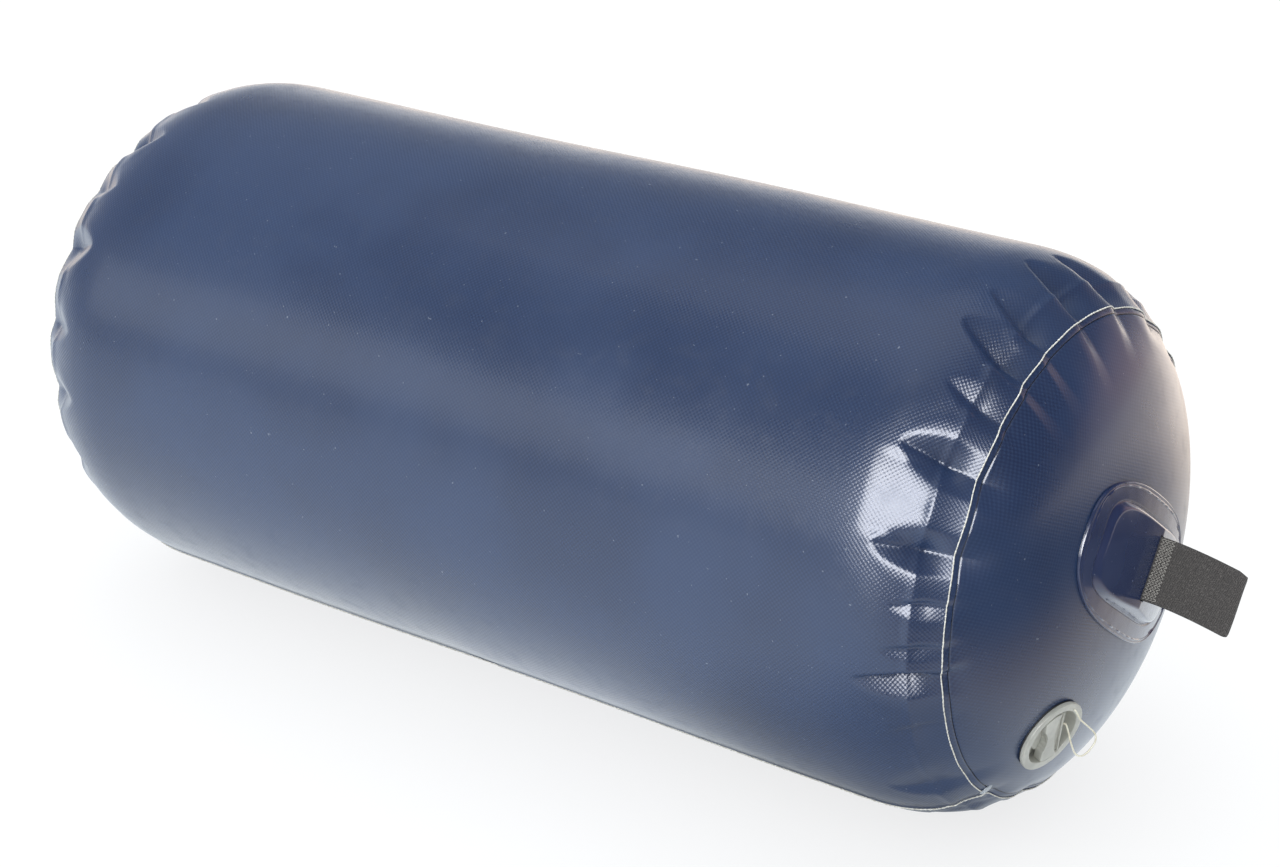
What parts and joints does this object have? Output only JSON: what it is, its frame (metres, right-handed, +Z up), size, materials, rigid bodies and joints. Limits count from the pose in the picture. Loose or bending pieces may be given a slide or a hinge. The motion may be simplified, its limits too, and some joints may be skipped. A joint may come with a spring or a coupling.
{
  "type": "pneumatic fender",
  "caption": "Inflated coated-fabric cylinder with domed gathered ends, a webbing loop in a moulded patch on each end, and an inflation valve with a tethered cap.",
  "frame": {"origin": "middle of the box's bottom, on the floor under the middle of the fender", "axes": "+X along the fender towards the end with the valve, +Z up"},
  "size_m": [1.186, 0.45, 0.4462],
  "materials": {
    "chamber_fabric": "glossy navy coated fabric, its weave showing through",
    "patch_vinyl": "glossy navy moulded vinyl",
    "loop_webbing": "charcoal woven webbing",
    "valve_plastic": "pale grey moulded plastic",
    "seal_rubber": "black rubber",
    "spring_steel": "bright stainless wire",
    "tether_plastic": "cream plastic cord"
  },
  "bodies": {
    "fender": {"air_chamber": "chamber_fabric", "near_anchor_patch": "patch_vinyl", "near_webbing_loop": "loop_webbing", "far_anchor_patch": "patch_vinyl", "far_webbing_loop": "loop_webbing", "valve_body": "valve_plastic", "valve_gasket": "seal_rubber", "valve_lock_nut": "valve_plastic", "valve_spring": "spring_steel", "cap_tether": "tether_plastic"},
    "cap": {"valve_cap": "valve_plastic", "cap_seal": "seal_rubber"},
    "plunger": {"valve_stem": "valve_plastic", "valve_diaphragm": "seal_rubber", "stem_button": "valve_plastic"}
  },
  "joints": [
    {"name": "cap_lift", "type": "slide", "parent": "fender", "child": "cap", "axis": [0.932, -0.2251, -0.284], "range_m": [0, 0.03], "deforming": ["cap_tether"]},
    {"name": "plunger_press", "type": "slide", "parent": "fender", "child": "plunger", "axis": [0.932, -0.2251, -0.284], "range_m": [-0.003, 0], "stiffness_N_per_m": 150, "springref_m": 0.002, "deforming": ["valve_spring"]}
  ]
}
